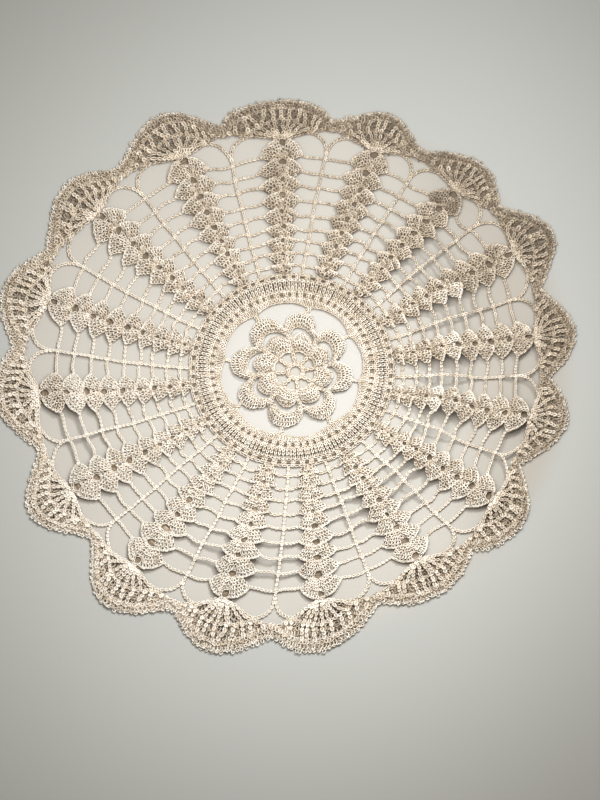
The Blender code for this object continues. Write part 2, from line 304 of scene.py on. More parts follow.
def laid_angle(angle, radius):
    place = 2 * angle / SECTOR
    spread = np.clip((radius - BAND_OUTER) / (FORK - BAND_OUTER), 0, 1)
    turn = (1 - spread) * closed_curve(TURN_IN, place) + spread * closed_curve(TURN_OUT, place)
    petal = (angle - PETAL_START) / PETAL_SECTOR
    inner = closed_curve(PETAL_TURN_INNER, petal)
    outer = closed_curve(PETAL_TURN_OUTER, petal)
    rose = inner + (outer - inner) * ease(radius, INNER_PETAL_MIDDLE, PETAL_GAP_OUTER)
    return angle + rose + (turn - rose) * ease(radius, PETAL_EASE, BAND_AT_JOIN)


def laid_radius(angle, radius):
    place = 2 * angle / SECTOR
    fork = between(NET[-1].eyelet, FORK, angle)
    rim = between(SCALLOP, VALLEY, angle)
    net_gain = closed_curve(NET_GAIN, place)
    within = 1 + (net_gain - 1) * np.maximum(0, (radius - BAND_OUTER) / (fork - BAND_OUTER))
    beyond = net_gain + (closed_curve(RIM_GAIN, place) - net_gain) * (radius - fork) / (rim - fork)
    return radius * np.where(radius < fork, within, beyond)


def hump(distance, spread):
    """1 in the middle of a ripple, and 0 from its spread on."""
    return np.cos(math.pi / 2 * np.minimum(1, np.abs(distance) / spread)) ** 2


def lift(angle, radius):
    return sum(
        ripple.height
        * hump(turn_from(angle, ripple.angle), ripple.spread_angle)
        * hump(radius - ripple.radius, ripple.spread_radius)
        for ripple in RIPPLES
    )


def lay(points):
    """Where flat pattern points, as x, y and height, lie: x, y, z in metres in the row frame."""
    x, y, height = points[..., 0], points[..., 1], points[..., 2]
    angle = np.degrees(np.arctan2(x, y)) % 360
    radius = np.hypot(x, y)
    direction = np.radians(laid_angle(angle, radius))
    reach = laid_radius(angle, radius)
    shift = 1 - ease(radius, 0, BAND_AT_JOIN)
    laid_x = reach * np.sin(direction) + shift * ROSE_FROM_BAND[0] - BOX_MIDDLE[0]
    laid_y = reach * np.cos(direction) + shift * ROSE_FROM_BAND[1] - BOX_MIDDLE[1]
    return np.stack([laid_x, laid_y, lift(angle, radius) + height], axis=-1) * MM


def paler(points):
    """How much paler than its middle the doily is at flat pattern points, with painted light."""
    direction = np.arctan2(points[..., 0], points[..., 1])
    radius = np.hypot(points[..., 0], points[..., 1])
    outwards = np.clip((radius - PALE_START) / PALE_REACH, 0, 1)
    side = PALE_OUTER * np.cos(direction - math.radians(PALE_SIDE)) * outwards
    outer = BROWN_OUTER * ease(radius, OUTER_START, OUTER_END)
    return side + outer + BROWN_EDGING * ease(radius, EDGING_START, EDGING_END)


# Yarn: tubes along lines


def units(vectors):
    return vectors / (np.linalg.norm(vectors, axis=-1, keepdims=True) + TINY)


def square_to(along, vectors):
    return units(vectors - along * (vectors * along).sum(1, keepdims=True))


class Yarn:
    """All the yarn of one piece, as tubes that are gathered until the piece is made."""

    def __init__(self):
        self.points, self.faces, self.around, self.crests = [], [], [], []
        self.count = 0

    def add(self, lines, closed=False, radius=YARN_RADIUS, crest=1.0, tone=0.0, buried=False):
        """Tubes along lines of the flat pattern: an array of lines, points and x, y, height.

        crest is 1 where a line is on top of its stitch and 0 where it is beneath, and with the
        tube's upper side paler than its lower side it paints shade on the yarn. tone makes the
        yarn paler or browner than that. A buried line is painted as brown on top as below.
        """
        centre = lay(lines) / MM
        centre[..., 2] = np.maximum(centre[..., 2], radius)
        many, length, _ = centre.shape
        ahead, behind = np.roll(centre, -1, axis=1), np.roll(centre, 1, axis=1)
        if not closed:
            ahead[:, -1], behind[:, 0] = centre[:, -1], centre[:, 0]
        along = units(ahead - behind)
        # the first side of the tube, carried along it without a twist
        side = np.empty_like(centre)
        normal = units(np.cross(along[:, 0], UP))
        for k in range(length):
            normal = square_to(along[:, k], normal)
            side[:, k] = normal
        twist = np.zeros(many)
        if closed:
            last = square_to(along[:, 0], side[:, -1])
            sine = (np.cross(side[:, 0], last) * along[:, 0]).sum(1)
            twist = np.arctan2(sine, (side[:, 0] * last).sum(1))
        other = np.cross(along, side)
        untwist = twist[:, None] * np.arange(length)[None, :] / length
        turn = 2 * math.pi * np.arange(SIDES) / SIDES + math.radians(FIRST_SIDE)
        turn = turn - untwist[..., None]
        cosine, sine = np.cos(turn)[..., None], np.sin(turn)[..., None]
        ring = cosine * side[:, :, None] + sine * other[:, :, None]
        points = centre[:, :, None] + radius * ring

        # its colour, with painted shade: paler on its upper side, browner below and beneath
        # stitches
        up_side = np.full(ring.shape[:-1], BURIED_CREST) if buried else 0.5 + ring[..., 2] / 2
        on_top = np.broadcast_to(np.asarray(crest, float), (many, length))[..., None]
        pale = np.broadcast_to(tone, many) + random.normal(0, TONE_SPREAD, many)
        pale = pale[:, None] + paler(lines)
        bright = HIDDEN_CREST + (1 - HIDDEN_CREST) * on_top
        self.crests.append((up_side * bright + pale[..., None]).reshape(-1))

        # its faces, and how far along and around it their corners lie
        index = self.count + np.arange(many * length * SIDES).reshape(many, length, SIDES)
        step = np.linalg.norm(ahead - centre, axis=2)
        reach = np.concatenate([np.zeros((many, 1)), np.cumsum(step, axis=1)], axis=1)
        spans = length if closed else length - 1
        here, there = index[:, :spans], np.roll(index, -1, axis=1)[:, :spans]
        faces = np.stack([here, np.roll(here, -1, 2), np.roll(there, -1, 2), there], axis=-1)
        start = reach[:, :spans, None] * np.ones(SIDES)
        end = reach[:, 1 : spans + 1, None] * np.ones(SIDES)
        low = np.arange(SIDES) / SIDES * np.ones_like(start)
        high = low + 1 / SIDES
        corners = ((start, low), (start, high), (end, high), (end, low))
        around = np.stack([np.stack(corner, axis=-1) for corner in corners], axis=-2)
        self.points.append(points.reshape(-1, 3))
        self.faces.append(faces.reshape(-1, 4))
        self.around.append(around.reshape(-1, 2))
        self.count += index.size

    def piece(self, name, material):
        """An object with all the yarn so far."""
        points = np.concatenate(self.points) * MM
        faces = np.concatenate(self.faces).astype(np.int32)
        mesh = bpy.data.meshes.new(name)
        mesh.vertices.add(len(points))
        mesh.vertices.foreach_set("co", points.astype(np.float32).ravel())
        mesh.loops.add(faces.size)
        mesh.loops.foreach_set("vertex_index", faces.ravel())
        mesh.polygons.add(len(faces))
        mesh.polygons.foreach_set("loop_start", np.arange(0, faces.size, 4, dtype=np.int32))
        mesh.polygons.foreach_set("use_smooth", np.ones(len(faces), dtype=bool))
        mesh.uv_layers.new(name="Yarn")
        mesh.uv_layers["Yarn"].data.foreach_set(
            "uv", np.concatenate(self.around).astype(np.float32).ravel()
        )
        crest = mesh.attributes.new("crest", "FLOAT", "POINT")
        crest.data.foreach_set("value", np.concatenate(self.crests).astype(np.float32))
        mesh.materials.append(material)
        mesh.update(calc_edges=True)
        made = bpy.data.objects.new(name, mesh)
        bpy.context.scene.collection.objects.link(made)
        return made


def frames(start, end):
    """Along, across and rise of stitches that run from start to end."""
    along = end - start
    across = units(np.cross(along, UP))
    rise = units(np.cross(across, along))
    return along, across, rise


def shaken(points, jitter):
    """Points a little out of place: sideways by about jitter, and less in height."""
    away = np.clip(random.normal(0, 1, points.shape), -JITTER_LIMIT, JITTER_LIMIT)
    return points + away * (jitter, jitter, jitter / 2)


# The shapes of single stitches: along, across and up, and how much of each is on top, which paints
# the parts beneath other yarn browner as shade.
LINK_LOOP = (
    (-0.24, 0.00, 0.00),
    (0.06, 0.28, 0.08),
    (0.42, 0.64, 0.42),
    (0.80, 0.48, 0.68),
    (1.02, 0.00, 0.62),
    (0.80, -0.48, 0.68),
    (0.42, -0.64, 0.42),
    (0.06, -0.28, 0.08),
)
LINK_CREST = (0.1, 0.4, 1.0, 1.0, 0.9, 1.0, 1.0, 0.4)
LINK_BACK = ((-0.15, 0.0, 0.05), (0.35, 0.0, -0.02), (0.95, 0.0, 0.05))
LINK_BACK_CREST = (0.2, 0.3, 0.2)

TOP_LOOP = (
    (-0.25, 0.00, 0.05),
    (0.20, 0.52, 0.35),
    (0.75, 0.52, 0.62),
    (1.06, 0.00, 0.60),
    (0.75, -0.52, 0.62),
    (0.20, -0.52, 0.35),
)
TOP_CREST = (0.3, 0.8, 1.0, 1.0, 1.0, 0.8)

V_LOOP = (
    (-0.20, 0.00, 0.10),
    (0.42, 0.58, 0.42),
    (0.98, 0.36, 0.62),
    (0.98, -0.36, 0.62),
    (0.42, -0.58, 0.42),
)
V_CREST = (0.2, 0.9, 1.0, 1.0, 0.9)


def loops(yarn, shape, crest, start, end, width=1.0, closed=True, radius=YARN_RADIUS, tone=0.0):
    """A loop of one shape from each start to its end."""
    along, across, rise = (direction[:, None] for direction in frames(start, end))
    part_along, part_across, part_up = np.array(shape).T[:, None, :, None]
    width = np.broadcast_to(width, len(start))[:, None, None]
    lines = start[:, None] + along * part_along + across * part_across * width + rise * part_up
    yarn.add(lines, closed=closed, radius=radius, crest=crest, tone=tone)


def row_tops(yarn, stations, width=1.0, jitter=JITTER, tone=0.0):
    """The tops of a row of stitches, one between each station of a line and the next."""
    stations = shaken(stations, jitter)
    loops(yarn, TOP_LOOP, TOP_CREST, stations[:-1], stations[1:], width=width, tone=tone)


def links(yarn, stations, width=1.1, jitter=JITTER, radius=YARN_RADIUS, tone=0.0):
    """Chain stitches, one between each station of a line and the next."""
    stations = shaken(stations, jitter)
    start, end = stations[:-1], stations[1:]
    loops(yarn, LINK_LOOP, LINK_CREST, start, end, width=width, radius=radius, tone=tone)
    loops(yarn, LINK_BACK, LINK_BACK_CREST, start, end, closed=False, radius=radius, tone=tone)


def posts(
    yarn, start, end, bow=0.0, core=POST_CORE, widen=(1.0, 1.0), tone=0.0, core_crest=CORE_CREST
):
    """Tall stitches from start to end, which rise by bow in between.

    Their loops widen from the first share to the second.
    """
    start = shaken(start, JITTER)
    end = shaken(end, JITTER)
    along, _, rise = frames(start, end)

    def on_axis(part):
        bowed = rise[:, None] * bow * np.sin(math.pi * part)
        return start[:, None] + along[:, None] * part + bowed

    axis = on_axis(np.linspace(0, 1, POST_POINTS)[None, :, None])
    yarn.add(axis, radius=core, crest=core_crest, tone=tone)
    count = max(1, round(np.linalg.norm(along, axis=1).mean() / POST_LOOP))
    part = np.linspace(0, 1, count + 1)[None, :, None]
    shift = random.uniform(-POST_LOOP_SHIFT, POST_LOOP_SHIFT, (len(start), 1, 1)) / count
    stations = on_axis(np.clip(part + shift * np.sin(math.pi * part), 0, 1))
    stations = shaken(stations, JITTER * POST_LOOP_JITTER)
    stations[..., 2] += POST_LOOP_RISE
    along_part = (np.arange(count) + 0.5) / count
    width = np.tile(widen[0] + (widen[1] - widen[0]) * along_part, len(start))
    first, last = stations[:, :-1].reshape(-1, 3), stations[:, 1:].reshape(-1, 3)
    loops(yarn, V_LOOP, V_CREST, first, last, width=width, tone=tone)


def along_line(line, share):
    """Points at shares of the length of an evenly spaced line."""
    place = share * (len(line) - 1)
    step = np.minimum(place.astype(int), len(line) - 2)
    part = (place - step)[:, None]
    return line[step] * (1 - part) + line[step + 1] * part


def ruled(near, far, bow=0.0):
    """The row lines of a patch that go straight from one line of points to another.

    They rise by bow halfway.
    """
    points = max(RULED_POINTS, 2 * round(length_of(far) / RULED_PITCH) + 1)
    near, far = resampled(near, points), resampled(far, points)

    def row_line(part):
        return near + (far - near) * part + (0, 0, bow * math.sin(math.pi * part))

    return row_line


def patch(yarn, row_line, pitch=STITCH, jitter=PATCH_JITTER, tone=0.0, shade=(0.0, 0.0)):
    """Rows of stitches of even size. row_line gives the line at a share of the way across.

    The rows grow paler by shade from the first to the last, which is painted light and shade.
    """
    reach = np.linalg.norm(row_line(1.0) - row_line(0.0), axis=1).mean()
    unders = max(2, round(reach / UNDER_PITCH))
    places = np.linspace(UNDER_INSET, 1 - UNDER_INSET, unders)
    under = np.array([row_line(part)[::2] for part in places]) - (0, 0, UNDER_DEPTH)
    yarn.add(under, radius=UNDER_RADIUS, crest=UNDER_CREST, tone=tone, buried=True)
    rows = max(1, round(reach / pitch / STITCH_SHAPE))
    for row in range(rows):
        first, last = row_line(row / rows), row_line((row + 1) / rows)
        length = length_of((first + last) / 2)
        count = max(1, round(length / pitch))
        shift = random.uniform(-STITCH_SHIFT, STITCH_SHIFT, count)
        share = (np.arange(count) + 0.5 + shift) / count
        start = shaken(along_line(first, share) + (0, 0, STITCH_RISE), jitter)
        end = shaken(along_line(last, share) + (0, 0, STITCH_RISE), jitter)
        pale = tone + shade[0] + (shade[1] - shade[0]) * (row + 0.5) / rows
        width = STITCH_WIDTH * length / count
        loops(yarn, V_LOOP, V_CREST, start, end, width=width, tone=pale)


def ground(yarn, lines, radius=0.6, tone=0.0):
    """Yarns that cross beneath the stitches, painted brown all round as their shadow."""
    yarn.add(np.asarray(lines), radius=radius, crest=0.0, tone=tone, buried=True)


def polar(angle, radius, height):
    """Flat pattern points from angles in degrees, radii and heights, which may be arrays."""
    angle, radius, height = np.broadcast_arrays(angle, radius, height)
    turn = np.radians(angle)
    return np.stack([radius * np.sin(turn), radius * np.cos(turn), height], axis=-1)


def span(width, radius):
    """The angle of a width in millimetres at a radius."""
    return np.degrees(width / radius)


def resampled(line, count):
    """count points spaced evenly along a line of points."""
    line = np.asarray(line, float)
    reach = np.concatenate([[0], np.cumsum(np.linalg.norm(np.diff(line, axis=0), axis=1))])
    places = np.linspace(0, reach[-1], count)
    return np.stack([np.interp(places, reach, line[:, k]) for k in range(line.shape[1])], axis=-1)


def length_of(line):
    return np.linalg.norm(np.diff(line, axis=0), axis=1).sum()


def stitch_row(line, pitch=LINK, least=1):
    """Stations about a stitch apart along a line, for so many stitches at least."""
    return resampled(line, max(least, round(length_of(line) / pitch)) + 1)


def smooth(line, rounds=2):
    """Corner cutting that keeps the two ends."""
    for _ in range(rounds):
        first = line[:-1] * (1 - CORNER_CUT) + line[1:] * CORNER_CUT
        second = line[:-1] * CORNER_CUT + line[1:] * (1 - CORNER_CUT)
        inside = np.stack([first, second], axis=1).reshape(-1, line.shape[1])
        line = np.concatenate([line[:1], inside, line[-1:]])
    return line


# The wheel and the rose. A level is the radius and height that a round or a row lies at.

Level = namedtuple("Level", "radius height")

# The ring's two rounds: the radius and stations of each.
RINGS = ((4.0, 12), (5.2, 15))
RING_HEIGHT = 0.7
SPOKE_START, SPOKE_END = 5.8, 13.5
SPOKE_HEIGHT = 0.9
SPOKE_LINKS = 3
# Two tall stitches carry each spoke on, so many degrees off its line.
ROOT_TURN = 1.6
ROOT_START = Level(12.0, 1.2)
ROOT_END = Level(23.5, 1.6)

PetalRow = namedtuple("PetalRow", "half edge middle edge_height middle_height")
INNER_PETAL_ROWS = (
    PetalRow(16.5, 12.0, 12.6, 1.0, 1.2),
    PetalRow(18.5, 14.6, 16.2, 2.6, 4.4),
    PetalRow(19.0, 16.8, 19.8, 2.8, 4.7),
    PetalRow(19.5, 18.0, 22.8, 1.2, 1.4),
)
PETAL_ROW_POINTS = 9
PETAL_SWELL = 0.8
PETAL_STITCH = 1.6
PETAL_EDGE_POINTS = 25
PETAL_INNER_HEIGHT, PETAL_OUTER_HEIGHT = 1.1, 1.0
PETAL_RIDGE_HEIGHT = 3.2
PETAL_TOPS = 9
JOIN_START, JOIN_END = 35.2, 39.4
JOIN_HEIGHT = 0.6
JOIN_LINKS = 2
JOIN_SIDE = 0.55


def wheel_and_rose(yarn):
    for radius, stations in RINGS:
        line = polar(np.linspace(0, 360, stations), radius, RING_HEIGHT)
        links(yarn, line, width=1.0, jitter=0.15, radius=0.5)
    middles = petal_angle(np.arange(PETALS))
    spokes = middles + PETAL_SECTOR / 2
    for spoke in spokes:
        line = polar(spoke, np.linspace(SPOKE_START, SPOKE_END, SPOKE_LINKS + 1), SPOKE_HEIGHT)
        links(yarn, line, width=1.25, jitter=0.3, radius=0.52)
    for turn in (-ROOT_TURN, ROOT_TURN):
        posts(yarn, polar(spokes + turn, *ROOT_START), polar(spokes + turn, *ROOT_END), bow=0.8)
    for middle in middles:
        inner_petal(yarn, middle)
        outer_petal(yarn, middle)
        petal_join(yarn, middle)


def petal_row(middle, row):
    """A row of an inner petal, which swings out in the middle."""
    part = np.linspace(-1, 1, PETAL_ROW_POINTS)
    swing = np.cos(math.pi / 2 * part) ** PETAL_SWELL
    radius = row.edge + (row.middle - row.edge) * swing
    height = row.edge_height + (row.middle_height - row.edge_height) * swing
    return polar(middle + row.half * part, radius, height)


def inner_petal(yarn, middle):
    lines = [petal_row(middle, row) for row in INNER_PETAL_ROWS]
    for first, second in zip(lines, lines[1:]):
        row_line = ruled(first, second, bow=0.35)
        patch(yarn, row_line, pitch=PETAL_STITCH, jitter=0.22, tone=0.15)
    row_tops(yarn, lines[-1])
    row_tops(yarn, lines[0])


def petal_edge(middle, edge, height):
    """An edge of an outer petal as an evenly spaced line."""
    angle, radius = np.array(edge).T
    return resampled(smooth(polar(middle + angle, radius, height)), PETAL_EDGE_POINTS)


def outer_petal(yarn, middle):
    inner = petal_edge(middle, PETAL_INNER_EDGE, PETAL_INNER_HEIGHT)
    outer = shaken(petal_edge(middle, PETAL_OUTER_EDGE, PETAL_OUTER_HEIGHT), 0.15)
    ridge = (inner + outer) / 2
    ridge[:, 2] = PETAL_RIDGE_HEIGHT
    inwards, outwards = ruled(inner, ridge, bow=0.5), ruled(ridge, outer, bow=0.6)
    # Painted light and shade: the outer petal is browner towards its inside and paler towards its
    # outer edge.
    patch(yarn, inwards, pitch=PETAL_STITCH, jitter=0.2, tone=0.1)
    patch(yarn, outwards, pitch=PETAL_STITCH, jitter=0.2, shade=(0.15, 0.3))
    row_tops(yarn, resampled(inner, PETAL_TOPS + 1))


def petal_join(yarn, middle):
    """Two chains from an outer petal to the band, one a little to the right of the other."""
    line = polar(middle, np.linspace(JOIN_START, JOIN_END, JOIN_LINKS + 1), JOIN_HEIGHT)
    for side in (-JOIN_SIDE, JOIN_SIDE):
        links(yarn, line + (side, 0, 0), jitter=0.1)


# The band: a row of tall stitches, a round of eyelets, trebles, and a second round of eyelets

BAND_STITCHES = 144
BAND_EYELETS = 64
# The inner edge: how round its scallops are, and how far into the band the first stitches start.
BAND_BOW = 0.5
BAND_INSET = 0.6
BAND_EDGE_HEIGHT = 0.9
# The cores of the band's stitches are painted darker still, as shade in the gaps between them.
DEEP_CREST = -0.7
FIRST_TOPS = Level(44.6, 1.0)
TREBLE_FOOT = Level(49.0, 0.9)
TREBLE_HEAD = Level(55.8, 1.2)
TREBLE_TOPS = Level(55.8, 1.3)
# The yarns beneath the eyelets and the trebles, painted brown as shade: the radius, height and
# tone of each.
BAND_GROUND = [(radius, 0.65, -0.1) for radius in (46.1, 47.4, 57.2, 58.4)]
BAND_GROUND += [(radius, 0.7, -0.3) for radius in np.linspace(49.6, 55.2, 6)]

# A round of eyelets has two tall stitches between each and the next, so far across from their
# middle at a radius. A row of tops closes it.
EyeletRound = namedtuple("EyeletRound", "turn radius across foot head")
INNER_EYELETS = EyeletRound(0, 46.7, 0.7, Level(44.9, 0.7), Level(48.6, 0.8))
INNER_EYELET_TOPS = Level(48.8, 1.0)
OUTER_EYELETS = EyeletRound(180 / BAND_EYELETS, 58, 0.8, Level(56.3, 0.7), Level(59.4, 0.8))
OUTER_EYELET_TOPS = Level(59.6, 0.7)


def around(radius, height):
    """A station for each stitch of the band, and the first once more at the end."""
    return polar(np.arange(BAND_STITCHES + 1) * 360 / BAND_STITCHES, radius, height)


def scalloped_edge():
    angle = np.arange(BAND_STITCHES + 1) * 360 / BAND_STITCHES
    in_petal = (angle - PETAL_START) % PETAL_SECTOR
    bow = np.sin(math.pi * in_petal / PETAL_SECTOR) ** BAND_BOW
    edge = BAND_AT_JOIN + (BAND_BETWEEN_JOINS - BAND_AT_JOIN) * bow + BAND_INSET
    return around(edge, BAND_EDGE_HEIGHT)


def band_eyelets(yarn, eyelets):
    angle = np.arange(BAND_EYELETS) * 360 / BAND_EYELETS
    for across in (-eyelets.across, eyelets.across):
        turn = span(across, eyelets.radius) + eyelets.turn
        posts(yarn, polar(angle + turn, *eyelets.foot), polar(angle + turn, *eyelets.head))


def band(yarn):
    inner = scalloped_edge()
    head = around(*FIRST_TOPS)[:-1]
    posts(yarn, inner[:-1], head, bow=0.6, core=0.7, tone=0.08, core_crest=DEEP_CREST)
    row_tops(yarn, inner, jitter=0.08)
    row_tops(yarn, around(*FIRST_TOPS))
    for radius, height, tone in BAND_GROUND:
        ground(yarn, around(radius, height)[None], tone=tone)
    band_eyelets(yarn, INNER_EYELETS)
    row_tops(yarn, around(*INNER_EYELET_TOPS))
    foot, head = around(*TREBLE_FOOT)[:-1], around(*TREBLE_HEAD)[:-1]
    posts(yarn, foot, head, bow=0.5, core=0.8, widen=(1.1, 1.2), tone=0.1, core_crest=DEEP_CREST)
    row_tops(yarn, around(*TREBLE_TOPS), width=1.1)
    band_eyelets(yarn, OUTER_EYELETS)
    row_tops(yarn, around(*OUTER_EYELET_TOPS), width=1.1)


# The shell columns: each row of one is two lobes of stitches with an eyelet between their tops

SHELL_SWAY = 0.12
# How the first row stands on the band: across from its middle, and how far outside the band.
FIRST_START, FIRST_REACH = 0.5, 3.0
FIRST_RISE = 0.2
# A lobe's foot and top are stretches of the top edges of two rows.
LOBE_POINTS = 9
LOBE_TOP_TURN, LOBE_FOOT_TURN = 86, 26
LOBE_FOOT_START = 0.8
LOBE_FOOT_RISE, LOBE_FOOT_FALL = 0.7, 1.2
LOBE_CURVE, LOBE_CURVE_FALL = 1.3, 0.6
LOBE_SWELL = 0.8
LOBE_SWELL_START = 0.2
LOBE_HEIGHT, LOBE_RISE, LOBE_FALL = 1.4, 0.8, 1.4
LOBE_PUFF = (1.3, 2.4)
LOBE_TONE_SPREAD = 0.04
LOBE_TOP_STITCH = 2.0
LOBE_TOP_RISE = 0.2
# The stalk between the lobes, from the row before to the eyelet.
STALK_FOOT_HALF, STALK_TOP_HALF = 1.4, 2.6
STALK_FOOT_HEIGHT, STALK_TOP_HEIGHT = 1.4, 1.7
STALK_INSET = 0.4
# The eyelet: the edge above it, the stitches that show through it, which are painted dark as
# shade, and the loops round it.
EYELET_EDGE = 1.0
EYELET_OVER = 0.3
FLOOR_LINES = 7
FLOOR_HEIGHT = 0.65
FLOOR_TONE, FLOOR_SPREAD = -0.33, 0.07
EYELET_MARGIN = 0.4
EYELET_RIM_HEIGHT = 2.0
EYELET_RIM_WIDTH = (0.72, 1.12)


def shells(yarn, rows):
    for column in range(REPEATS):
        for row in rows:
            shell(yarn, column, row)


def shell(yarn, column, row):
    here = NET[row]
    base = NET[row - 1].eyelet if row else BAND_OUTER
    under_eyelet = here.eyelet - EYELET_EDGE - EYELET_DEPTH * (here.eyelet - base)
    middle = column_angle(column) + random.normal(0, SHELL_SWAY)
    for side in (-1, 1):
        shell_lobe(yarn, middle, row, side, shell_tone(column, row, side))
    stalk(yarn, middle, base, under_eyelet)
    shell_eyelet(yarn, middle, here, under_eyelet)


def shell_top(row, turn):
    """The top edge of a lobe, from the eyelet at turn 0 to the chain at turn 90."""
    sine, cosine = np.sin(np.radians(turn)), np.cos(np.radians(turn))
    if row < 0:
        return FIRST_START + FIRST_REACH * sine, BAND_OUTER + FIRST_RISE + 0 * sine
    here = NET[row]
    x = here.shell_half * (EYELET_WIDTH + (1 - EYELET_WIDTH) * sine**LOBE_POINT)
    return x, here.chain + (here.eyelet - EYELET_EDGE - here.chain) * cosine**LOBE_POINT


def shell_tone(column, row, side):
    """How much paler or browner a lobe is painted: light where it lies higher, shade in a shadow.
    """
    return SHELL_TONES.get((column, row, side), 0.0) + random.normal(0, LOBE_TONE_SPREAD)


def lobe(middle, row, side, puff):
    """The row lines of a lobe. It bulges up by puff and out to its side."""
    across = np.linspace(0, 1, LOBE_POINTS)
    top_x, top_radius = shell_top(row, LOBE_TOP_TURN * across)
    foot_x, foot_radius = shell_top(row - 1, LOBE_FOOT_TURN * across)
    foot_x = LOBE_FOOT_START + foot_x * LOBE_FOOT * across
    foot_radius = foot_radius + LOBE_FOOT_RISE - LOBE_FOOT_FALL * across
    swell_across = np.sin(math.pi * (LOBE_SWELL_START + (1 - LOBE_SWELL_START) * across))

    def row_line(part):
        x = foot_x + (top_x - foot_x) * part ** (LOBE_CURVE - LOBE_CURVE_FALL * across)
        radius = foot_radius + (top_radius - foot_radius) * part
        swell = math.sin(math.pi * part) ** LOBE_SWELL * swell_across
        height = LOBE_HEIGHT + (LOBE_RISE - LOBE_FALL * across) * part + puff * swell
        return polar(middle + side * span(x, radius), radius, height)

    return row_line


def shell_lobe(yarn, middle, row, side, tone):
    row_line = lobe(middle, row, side, random.uniform(*LOBE_PUFF))
    # Painted light and shade: each lobe is browner at its foot, in the shadow of the row before,
    # and paler towards its top, whose edge stitches are paler still.
    patch(yarn, row_line, jitter=0.27, tone=tone, shade=(-0.1, 0.18))
    tops = stitch_row(row_line(1.0), LOBE_TOP_STITCH, least=3) + (0, 0, LOBE_TOP_RISE)
    row_tops(yarn, tops, width=0.85, jitter=0.15, tone=tone + 0.1)


def side_to_side(middle, half_width, radius):
    """The angles of three points across the middle."""
    return middle + span(np.linspace(-1, 1, 3) * half_width, radius)


def stalk(yarn, middle, base, under_eyelet):
    foot_angle = side_to_side(middle, STALK_FOOT_HALF, base)
    foot = polar(foot_angle, base + STALK_INSET, STALK_FOOT_HEIGHT)
    top_angle = side_to_side(middle, STALK_TOP_HALF, under_eyelet)
    top = polar(top_angle, under_eyelet, STALK_TOP_HEIGHT)
    patch(yarn, ruled(foot, top, bow=0.3))


def shell_eyelet(yarn, middle, here, under_eyelet):
    half_width = EYELET_WIDTH * here.shell_half
    half_height = (here.eyelet + EYELET_OVER - under_eyelet) / 2
    tone = random.normal(FLOOR_TONE, FLOOR_SPREAD)
    lowest, highest = under_eyelet + EYELET_MARGIN, here.eyelet - EYELET_MARGIN
    for radius in np.linspace(lowest, highest, FLOOR_LINES):
        angle = side_to_side(middle, half_width + EYELET_MARGIN, radius)
        ground(yarn, polar(angle, radius, FLOOR_HEIGHT)[None], radius=0.9, tone=tone)
    turn = np.radians(np.arange(EYELET_STITCHES + 1) * 360 / EYELET_STITCHES)
    radius = under_eyelet + half_height * (1 + np.cos(turn))
    half_width *= random.uniform(*EYELET_RIM_WIDTH)
    angle = middle + span(half_width * np.sin(turn), radius)
    row_tops(yarn, polar(angle, radius, EYELET_RIM_HEIGHT), jitter=0.4)


# The net: rows of chain from shell to spine, the spines, and the forks at their ends

CHAIN_HEIGHT = 0.45
CHAIN_OVERLAP = 0.4
# How far a chain bends and waves off its line.
CHAIN_BEND, CHAIN_WAVE = 0.7, 0.35
SPINE_HEIGHT = 0.75
SPINE_SWAY = 0.25
SPINE_OVERLAP = 0.4
ARM_POINTS = 12
ARM_HEIGHT = 0.55


def net(yarn):
    for column in range(REPEATS):
        for side in (-1, 1):
            for here in NET:
                chain_row(yarn, column, side, here)
            fork_arm(yarn, column, side)
        spine(yarn, column)


def chain_row(yarn, column, side, here):
    start = span(here.shell_half - CHAIN_OVERLAP, here.chain)
    part = np.linspace(0, 1, here.links + 1)
    angle = start + (SECTOR / 2 - start) * part
    bend, wave = random.normal(0, CHAIN_BEND), random.normal(0, CHAIN_WAVE)
    sway = bend * np.sin(math.pi * part) + wave * np.sin(2 * math.pi * part)
    stations = polar(column_angle(column) + side * angle, here.chain + sway, CHAIN_HEIGHT)
    # The chain is painted paler than the lobes, as a painted highlight.
    links(yarn, stations, width=1.0, tone=0.16)


def spine(yarn, column):
    radii = np.array([BAND_OUTER] + [row.chain for row in NET] + [FORK + SPINE_OVERLAP])
    sway = random.normal(0, SPINE_SWAY, len(radii))
    sway[0] = sway[-1] = 0
    places = polar(spine_angle(column) + span(sway, radii), radii, SPINE_HEIGHT)
    for ends in zip(places, places[1:]):
        # The spine is painted paler than the lobes, as a painted highlight.
        links(yarn, stitch_row(ends, least=2), width=1.0, radius=0.41, tone=0.2)


def fork_arm(yarn, column, side):
    turn = np.radians(np.linspace(0, 90, ARM_POINTS))
    radius = FORK + FORK_ARM_UP * np.sin(turn)
    off_spine = span(FORK_ARM_ACROSS * (1 - np.cos(turn)), radius)
    line = polar(column_angle(column) + side * (SECTOR / 2 - off_spine), radius, ARM_HEIGHT)
    # The arm is painted paler than the lobes, as a painted highlight.
    links(yarn, stitch_row(line), width=1.2, radius=0.45, tone=0.18)


# The edging: in each scallop, two fans of chain over a bumpy ground, and a dense border

# The base, from its middle outwards: how far across each point lies, and at what radius.
EDGING_BASE = (
    (0.0, 147.4),
    (3.0, 147.0),
    (9.0, 149.3),
    (15.7, 151.4),
    (21.4, 152.6),
    (25.5, 153.6),
    (30.2, 153.7),
)
BASE_HEIGHT = 0.9
LINE_POINTS = 61
GROUND_STITCH = 2.4
GROUND_HEIGHT = 0.7
GROUND_INSET = 1.8
# The arch between the two fans.
ARCH_HALF = 7.0
ARCH_FOOT = 153.0
ARCH_TOP = 160.5
ARCH_POINT = 1.2
ARCH_HEIGHT = 1.4
ARCH_MARGIN = 1
